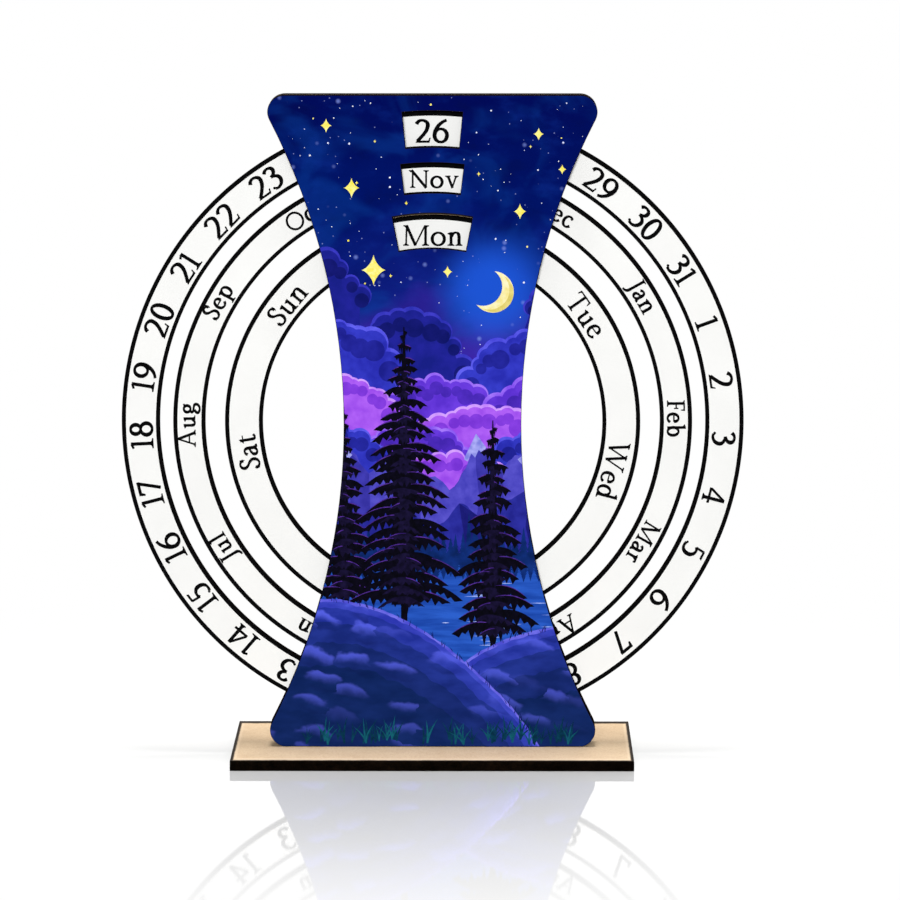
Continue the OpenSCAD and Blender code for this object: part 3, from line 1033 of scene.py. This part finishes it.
def standOn(crest, floor):
    # everything between a line and a level floor
    return crest + [(crest[-1][0], floor), (crest[0][0], floor)]


def heap(middle, half, level, height, low, high, seed):
    # the puffs of one heap of cloud: places and radii along an arched line
    chance = random.Random(seed)
    puffs = []
    x = middle - half
    while x < middle + half:
        radius = chance.uniform(low, high)
        arch = max(0.0, 1 - ((x - middle) / half) ** 2) ** 0.6
        puffs.append((x, level + height * arch + chance.uniform(-0.3, 0.4) * radius, radius))
        x += radius * chance.uniform(0.75, 1.2)
    return puffs


def cloudLayers(puffs, tone):
    # a lit rim, the body just inside it and a shaded belly in each puff
    layers = []
    for part, size, right, down in (("Lit", 1.0, 0, 0), ("", 0.86, 0.06, 0.1), ("Shade", 0.62, 0.16, 0.42)):
        shapes = [loop for x, y, r in puffs for loop in disc(x + right * r, y - down * r, r * size, 28)]
        spine = [(x, y - down * r) for x, y, r in puffs]
        if part != "Shade":
            shapes.append(standOn(spine, picture["cloudFoot"]))
        layers.append((shapes, inks["cloud" + tone + part]))
    return layers


def rough(points, seed, times=3, amount=0.22):
    # breaks a line into ever smaller crooked steps, as a worn ridge has
    chance = random.Random(seed)
    for _ in range(times):
        finer = [points[0]]
        for a, b in zip(points, points[1:]):
            swing = chance.uniform(-amount, amount)
            u, v = (a[0] + b[0]) / 2, (a[1] + b[1]) / 2
            finer += [(u - (b[1] - a[1]) * swing * 0.3, v + (b[0] - a[0]) * swing), b]
        points = finer
        amount *= 0.8
    return points


def mountains(peaks, floor, seed):
    # a ridge, the shaded side of each peak and the snow on its head
    chance = random.Random(seed)
    shades, snows = [], []
    for left, peak, right in zip(peaks, peaks[1:], peaks[2:]):
        if peak[1] < max(left[1], right[1]):
            continue
        fall = peak[1] - floor
        spur = [(peak[0] + chance.uniform(-0.1, 0.16) * fall * k / 4 + 0.6, peak[1] - fall * k / 4)
                for k in range(5)]
        shades.append([peak, *spur[1:], (right[0] + 1, floor), right][::-1])
        a = [peak[i] + (left[i] - peak[i]) * 0.45 for i in (0, 1)]
        b = [peak[i] + (right[i] - peak[i]) * 0.38 for i in (0, 1)]
        hem = [(a[0] + (b[0] - a[0]) * k / 6, a[1] + (b[1] - a[1]) * k / 6 + (-1.3 if k % 2 else 0.5))
               for k in range(1, 6)]
        snows.append([peak, tuple(a), *hem, tuple(b)])
    return [standOn(rough(peaks, seed), floor)], shades, snows


def farPine(x, foot, top, spread, tiers=6):
    # a distant fir: a plain saw-toothed cone
    step = (top - foot) / tiers
    right = []
    for i in range(1, tiers + 1):
        reach = spread * i / tiers
        right += [(reach, top - step * i), (reach * 0.55, top - step * (i - 0.25))]
    return [(x, top)] + [(x - u, v) for u, v in right] + [(x, foot)] + [(x + u, v) for u, v in right[::-1]]


def bough(x, y, way, reach, droop, hang, chance):
    # one drooping bough with needles hanging from it, and the light along its upper side
    count = 2 * max(3, round(reach / 2.2)) + 1
    upper, lower, light = [], [], []
    for k in range(count + 1):
        t = k / count
        height = y + 0.16 * reach * math.sin(math.pi * t * 0.8) - droop * t ** 1.5
        depth = hang * (1 - 0.8 * t) * chance.uniform(0.7, 1.2)
        upper.append((x + way * reach * t, height))
        lower.append((x + way * reach * (t - 0.03), height - depth * (1 if k % 2 else 0.5)))
        light.append((x + way * reach * t, height - 0.04 - 0.24 * math.sin(math.pi * t)))
    first = chance.randint(1, count // 2)
    shape = upper + lower[::-1][1:]
    glint = upper[first:-1] + light[first:-1][::-1]
    return [s if signedArea(s) > 0 else s[::-1] for s in (shape, glint)]


def fir(x, foot, top, spread, tiers, seed):
    # a tall fir: a slim core and boughs on both sides, longer towards the foot, with shorter ones in front
    chance = random.Random(seed)
    height = top - foot
    gap = height / tiers
    full = box(x - spread * 0.05, foot - 1, x + spread * 0.05, foot + height * 0.1)
    full.append([(x - spread * 0.2, foot + height * 0.06), (x + spread * 0.2, foot + height * 0.06),
                 (x + 0.15, top + 1), (x - 0.15, top + 1)])
    inner, lights = [], []
    for i in range(tiers):
        share = (i + 1) / tiers
        for way in (-1, 1):
            reach = spread * share ** 0.8 * chance.uniform(0.7, 1.1)
            level = top - height * 0.93 * (share - 0.7 / tiers) + chance.uniform(-0.25, 0.25) * gap
            droop = reach * chance.uniform(0.3, 0.5)
            shape, light = bough(x, level, way, reach, droop, gap * 2.1 * share ** 0.2, chance)
            full.append(shape)
            if chance.random() < 0.7:
                lights.append(light)
            if i > 2:
                near, light = bough(x - way * reach * 0.12, level - gap * 0.4, way,
                                    reach * chance.uniform(0.45, 0.7), reach * 0.25, gap * 0.9, chance)
                inner.append(near)
                if chance.random() < 0.35:
                    lights.append(light)
    return [(full, inks["pine"]), (inner, inks["pineInner"]), (lights, inks["pineLight"])]


def bankLayers(points, seed):
    # a grassy bank in bands, pale along its crest and darker down its side
    layers = []
    for i, drop in enumerate((0, 0.9, 2.8, 7.0, 13.0, 20.0)):
        lowered = [(x, y - drop) for x, y in smoothPath(points, 3)]
        crest = smoothPath(rough(lowered, seed + i, 2, 0.05 + 0.03 * i), 8)
        layers.append(([standOn(crest, picture["bankFoot"])], inks[f"bank{i}" if i else "crest"]))
    return layers


def strip(points, width):
    # a thin field along a curve, to strew tufts on
    crest = smoothPath(points, 6)
    return [crest + [(x, y - width) for x, y in reversed(crest)]]


def leaf(lean, width, height=1.0):
    # one curved blade, its foot at the origin
    left, right = [], []
    for k in range(7):
        t = k / 6
        middle = lean * t ** 1.8
        half = width * (1 - t ** 1.6) * (0.7 + 0.6 * t) / 2
        left.append((middle - half, t * height))
        right.append((middle + half, t * height))
    return left[:-1] + [((left[-1][0] + right[-1][0]) / 2, height)] + right[:-1][::-1]


print("picture")
# each ink's darker and lighter tone and the size of its mottle, and for some its roughness and stretch
inkTones = {
    "moon": ("#f6e690", "#fff8cc", 2.2), "moonShade": ("#dcc968", "#f0df8c", 2.2),
    "star": ("#fbe84c", "#fff9a0", 1.0), "faintStar": ("#cfd6ff", "#ffffff", 1.0),
    "farPeak": ("#4440b8", "#5a54cc", 3.0), "farPeakShade": ("#35319e", "#423db4", 3.0),
    "nearPeak": ("#22248a", "#2f32a4", 3.0), "nearPeakShade": ("#17186c", "#20217e", 3.0),
    "snow": ("#7f82e0", "#b4b6fa", 2.0),
    "farWood": ("#0a2258", "#12307c", 3.0), "mirroredWood": ("#0c2668", "#14347e", 3.0),
    "lake": ("#1b45a6", "#2c5fcb", 3.0, 0.5, (4, 1, 0.5)),
    "glint": ("#7f9df0", "#c2d0ff", 2.0, 0.5, (4, 1, 0.5)),
    "crest": ("#4a4cd0", "#7a78f0", 3.0, 0.55, (2.2, 1, 1)), "blade": ("#0a1250", "#141e6c", 2.5),
    "pine": ("#030308", "#0a0818", 1.6), "pineInner": ("#0d0a20", "#1a1436", 1.6),
    "pineLight": ("#321c68", "#6238a8", 1.6),
    "grass": ("#04283e", "#083c54", 1.5), "lightGrass": ("#0a4256", "#125c6c", 1.5),
}
# a cloud's lit rim, its body and its shaded belly
cloudTones = {
    "Blue": (("#4444d6", "#6262f0"), ("#282cae", "#363cc8"), ("#1b1e88", "#2629a0")),
    "Dusk": (("#2b2fae", "#403ec8"), ("#171e82", "#222498"), ("#0e1462", "#161a74")),
    "Violet": (("#8450ee", "#a478fa"), ("#5a30ce", "#6e3ee2"), ("#4225ac", "#532ec4")),
    "Pink": (("#bc7cfa", "#d8a6ff"), ("#9648e8", "#b062f6"), ("#7432d2", "#8840e2")),
}
bankTones = [("#2c36ae", "#424ec8"), ("#1f2e92", "#303fae"), ("#162774", "#22348e"), ("#102260", "#1a2d76"),
             ("#0a1f52", "#122864")]
inks = {name: makePrintInk(name + "Ink", *tone) for name, tone in inkTones.items()}
for tone, parts in cloudTones.items():
    for part, (low, high) in zip(("Lit", "", "Shade"), parts):
        inks["cloud" + tone + part] = makePrintInk(f"cloud{tone}{part}Ink", low, high, 4.0)
for i, (low, high) in enumerate(bankTones, 1):
    inks[f"bank{i}"] = makeBankInk(f"bank{i}Ink", low, high)


def makeSky(tree):
    x, y = picture["moon"]
    radius = picture["moonRadius"]
    bite = disc(x - 3.0, y + 1.6, radius * 0.93, 48)
    shade = disc(x - 1.0, y + 0.6, radius * 0.95, 48)
    around = disc(x, y, radius + 1.5, 32)
    strew("print_faint_stars", tree, box(-60, 14, 60, 97.5), [disc(0, 0, 1, 8), disc(0, 0, 0.6, 6)],
          inks["faintStar"],
          {"perSquareCentimetre": 2.0, "size": (0.1, 0.32), "lean": 3.1, "seed": 4, "margin": 0.5}, around)
    strew("print_gold_stars", tree, box(-60, 42, 60, 97.5), [[sparkle(0, 0, 1.4)], disc(0, 0, 0.7, 8)],
          inks["star"],
          {"perSquareCentimetre": 0.4, "size": (0.25, 0.5), "lean": 0.0, "seed": 11, "margin": 0.9}, around)
    layInk("print_moon", [
        (disc(x, y, radius, 56), inks["moon"], bite),
        (disc(x + 0.4, y - 0.25, radius * 0.93, 56), inks["moonShade"], shade + bite),
    ])
    layInk("print_bright_stars", [([sparkle(*s) for s in (
        (-31.5, 89.0, 2.0), (-24.0, 70.5, 2.8), (31.5, 86.5, 1.8), (26.0, 63.5, 2.2), (-17.5, 46.0, 4.3),
        (4.5, 45.5, 1.7), (38.5, 76.0, 1.4),
    )], inks["star"])])


def makeClouds():
    # each heap's middle, half width, level, height, smallest and largest puff, seed and tone, rear ones first
    layers = []
    for *form, tone in (
            (-34, 15, 25, 24, 2.2, 4.6, 31, "Dusk"), (38, 12, 24, 16, 2.0, 4.0, 33, "Dusk"),
            (-8, 17, 14, 17, 2.4, 4.6, 36, "Dusk"), (30, 22, 4, 20, 2.6, 5.0, 3, "Blue"),
            (-32, 24, 2, 26, 2.6, 5.2, 5, "Blue"), (2, 20, -4, 15, 2.4, 4.6, 8, "Violet"),
            (34, 22, -6, 17, 2.6, 4.8, 9, "Violet"), (-28, 21, -8, 19, 2.4, 4.6, 12, "Pink"),
            (14, 22, -14, 17, 2.4, 4.4, 14, "Pink"), (-6, 17, -14, 11, 2.0, 3.8, 17, "Violet"),
            (36, 20, -18, 15, 2.2, 4.2, 21, "Blue"), (-34, 22, -18, 16, 2.2, 4.0, 23, "Blue"),
            (4, 26, -22, 10, 2.0, 3.6, 27, "Pink")):
        layers += cloudLayers(heap(*form), tone)
    layInk("print_clouds", layers)


def makeDistance():
    shore = picture["shore"]
    farPeaks = [(-48, -22), (-36, -13), (-27, -6), (-19, -15), (-10, -9), (-4, -15), (5, -20), (13, -3),
                (21, -14), (29, -8), (38, -16), (48, -20)]
    nearPeaks = [(-48, -30), (-33, -19), (-22, -28), (-12, -22), (-2, -31), (8, -24), (17, -30), (28, -20),
                 (40, -28), (48, -24)]
    farRidge, farShades, farSnows = mountains(farPeaks, shore, 5)
    nearRidge, nearShades, _ = mountains(nearPeaks, shore, 9)
    layInk("print_mountains", [
        (farRidge, inks["farPeak"]), (farShades, inks["farPeakShade"]), (farSnows, inks["snow"]),
        (nearRidge, inks["nearPeak"]), (nearShades, inks["nearPeakShade"]),
    ])
    chance = random.Random(picture["seed"])
    wood, mirrored = box(-60, shore - 0.6, 60, shore + 3), []
    x = -44.0
    while x < 44:
        top = shore + chance.uniform(6, 14) + 2.5 * math.sin(x / 8)
        pine = farPine(x, shore, top, chance.uniform(1.6, 2.6))
        wood.append(pine)
        mirrored.append([(u, shore - (v - shore) * 0.55) for u, v in reversed(pine)])
        x += chance.uniform(1.2, 2.6)
    glints = []
    for i in range(60):
        y = shore - 1.4 - i * 0.4
        glade = i % 3 > 0  # two in three lie under the moon
        middle = picture["moon"][0] + chance.gauss(0, 2.4) if glade else chance.uniform(-40, 40)
        half = chance.uniform(1.0, 3.4) if glade else chance.uniform(0.8, 4.0)
        glints.append([(middle - half, y), (middle, y - 0.14), (middle + half, y), (middle, y + 0.14)])
    layInk("print_lake", [
        (box(-60, -90, 60, shore), inks["lake"]), (mirrored, inks["mirroredWood"]), (glints, inks["glint"]),
    ])
    layInk("print_far_wood", [(wood, inks["farWood"])])


def makeForeground(tree):
    rightCrest = [(-22, -99), (-14, -92), (-4, -82), (8, -73), (20, -66), (33, -62), (46, -60), (60, -58)]
    leftCrest = [(-60, -56), (-44, -54), (-30, -53), (-16, -56), (-2, -63), (12, -74), (24, -86), (33, -99)]
    rightFirs = fir(18.0, -67, 0, 14, 17, 31)
    leftFirs = fir(-26.5, -56, 4, 12, 17, 43) + fir(-8.5, -60, 28, 19, 25, 41)
    blades = [[leaf(-0.35, 0.16)], [leaf(0.05, 0.14)], [leaf(0.4, 0.16)]]
    tufts = [[leaf(-0.6, 0.1, 0.7), leaf(-0.2, 0.1), leaf(0.18, 0.09, 0.9), leaf(0.5, 0.1, 0.6)],
             [leaf(-0.4, 0.1, 0.8), leaf(0.08, 0.1, 1.1), leaf(0.45, 0.1, 0.75)],
             [leaf(-0.15, 0.1, 0.9), leaf(0.3, 0.1, 1.0)]]
    for side, trees, firs, crest, seed in (("right", "fir", rightFirs, rightCrest, 3),
                                           ("left", "firs", leftFirs, leftCrest, 8)):
        layInk(f"print_{side}_{trees}", firs)
        layInk(f"print_{side}_bank", bankLayers(crest, seed))
        strew(f"print_{side}_grass", tree, strip(crest, 1.2), blades, inks["blade"], {
            "perSquareCentimetre": 60, "size": (1.0, 2.6), "lean": 0.25, "seed": seed + 1, "margin": 1.0,
        })
    foot = footLine + 0.2
    for name, ink, density, size, seed in (("dark", "grass", 22, (4.5, 8.5), 13),
                                           ("light", "lightGrass", 9, (4, 8), 17)):
        strew(f"print_{name}_reeds", tree, box(-43, foot, 43, foot + 1.8), tufts, inks[ink], {
            "perSquareCentimetre": density, "size": size, "lean": 0.2, "seed": seed, "margin": 0.3,
        })


scatterTree = makeScatterTree()
makeSky(scatterTree)
makeClouds()
makeDistance()
makeForeground(scatterTree)


# stage

# metres, degrees and watts: each lamp has its place, size and power
shot = {"distance": 1.6, "azimuth": 0.35, "elevation": 7.6, "target": (0.0052, -0.005, 0.09245),
        "lens": 213.7, "sensor": 36, "farthest": 60}
studio = {
    "world": 0.1, "sheet": 12.0, "drop": 0.00005, "aim": (0, 0, 0.1),
    "lamps": {"keyLamp": ((-0.1, -1.9, 0.45), 0.5, 29.6), "fillLamp": ((0.4, -1.9, 0.4), 1.0, 2.4),
              "topLamp": ((0.0, -0.04, 1.6), 0.4, 22.5), "rearLamp": ((0.45, 1.8, 0.55), 1.0, 20.0)},
}


def setCamera():
    azimuth, elevation = math.radians(shot["azimuth"]), math.radians(shot["elevation"])
    level = math.cos(elevation)
    away = Vector((math.sin(azimuth) * level, -math.cos(azimuth) * level, math.sin(elevation)))
    camera = bpy.data.objects.new("camera", bpy.data.cameras.new("camera"))
    bpy.context.scene.collection.objects.link(camera)
    camera.location = Vector(shot["target"]) + away * shot["distance"]
    camera.rotation_euler = (-away).to_track_quat("-Z", "Y").to_euler()
    camera.data.lens = shot["lens"]
    camera.data.sensor_width = shot["sensor"]
    camera.data.clip_end = shot["farthest"]
    bpy.context.scene.camera = camera


def makeWorld():
    # even pale surroundings, and plain white where a camera or a reflection looks past everything
    world = bpy.data.worlds.new("studio")
    bpy.context.scene.world = world
    world.use_nodes = True
    tree = world.node_tree
    path = addNode(tree, "ShaderNodeLightPath", out=None)
    seen = path["Is Camera Ray"]
    for ray in ("Is Glossy Ray", "Is Transmission Ray"):
        seen = addNode(tree, "ShaderNodeMath", [seen, path[ray]], operation="MAXIMUM")
    strength = addNode(tree, "ShaderNodeMapRange", [seen, 0, 1, studio["world"], 1.0])
    background = next(n for n in tree.nodes if n.type == "BACKGROUND")
    plugIn(tree, background, {"Color": (1, 1, 1, 1), "Strength": strength})


def makeLamp(name, place, size, power):
    lamp = bpy.data.objects.new(name, bpy.data.lights.new(name, "AREA"))
    bpy.context.scene.collection.objects.link(lamp)
    lamp.location = place
    lamp.rotation_euler = (Vector(studio["aim"]) - Vector(place)).to_track_quat("-Z", "Y").to_euler()
    lamp.data.size = size
    lamp.data.energy = power
    lamp.visible_glossy = False


def makeFloor():
    # a pale sheet that keeps the shadow and a faint mirrored image near the object and fades to white further
    # off; the light that it throws back is a grey studio floor's
    material, tree, shader = newMaterial("paleStudioSheet")
    point = objectPoint(tree)
    path = addNode(tree, "ShaderNodeLightPath", out=None)
    mottle = grain(tree, point, 60, detail=2.0)
    tone = addNode(tree, "ShaderNodeValToRGB", [mottle], stops=[(0.3, "#f4f4f3"), (0.7, "#f8f8f7")])
    tone = addNode(tree, "ShaderNodeMix", {
        0: path["Is Diffuse Ray"], 6: tone, 7: fromHex("#5a5a5a"),
    }, 2, data_type="RGBA")
    finishSurface(tree, shader, tone, 0.04, (mottle, 0.02, 0.02))
    plugIn(tree, shader, {"IOR": 1.5, "Coat Weight": 0.75, "Coat Roughness": 0.03})
    span = addNode(tree, "ShaderNodeVectorMath", [point], "Value", operation="LENGTH")
    far = addNode(tree, "ShaderNodeMapRange", [span, 10.0, 300.0], interpolation_type="SMOOTHSTEP")
    seen = addNode(tree, "ShaderNodeMath", [
        path["Is Camera Ray"], path["Is Glossy Ray"],
    ], operation="MAXIMUM")
    faded = addNode(tree, "ShaderNodeMath", [far, seen], operation="MULTIPLY")
    white = addNode(tree, "ShaderNodeEmission", {"Color": (1, 1, 1, 1), "Strength": 1.0})
    output = next(n for n in tree.nodes if n.type == "OUTPUT_MATERIAL")
    plugIn(tree, output, {"Surface": addNode(tree, "ShaderNodeMixShader", [faded, shader.outputs[0], white])})
    half, height = studio["sheet"], -studio["drop"]
    corners = [(-half, -half, height), (half, -half, height), (half, half, height), (-half, half, height)]
    meshObject("studio_sheet", corners, [(0, 1, 2, 3)], [material])


print("stage")
setCamera()
makeWorld()
makeFloor()
for name, lamp in studio["lamps"].items():
    makeLamp(name, *lamp)
bpy.context.scene.view_settings.view_transform = "Standard"
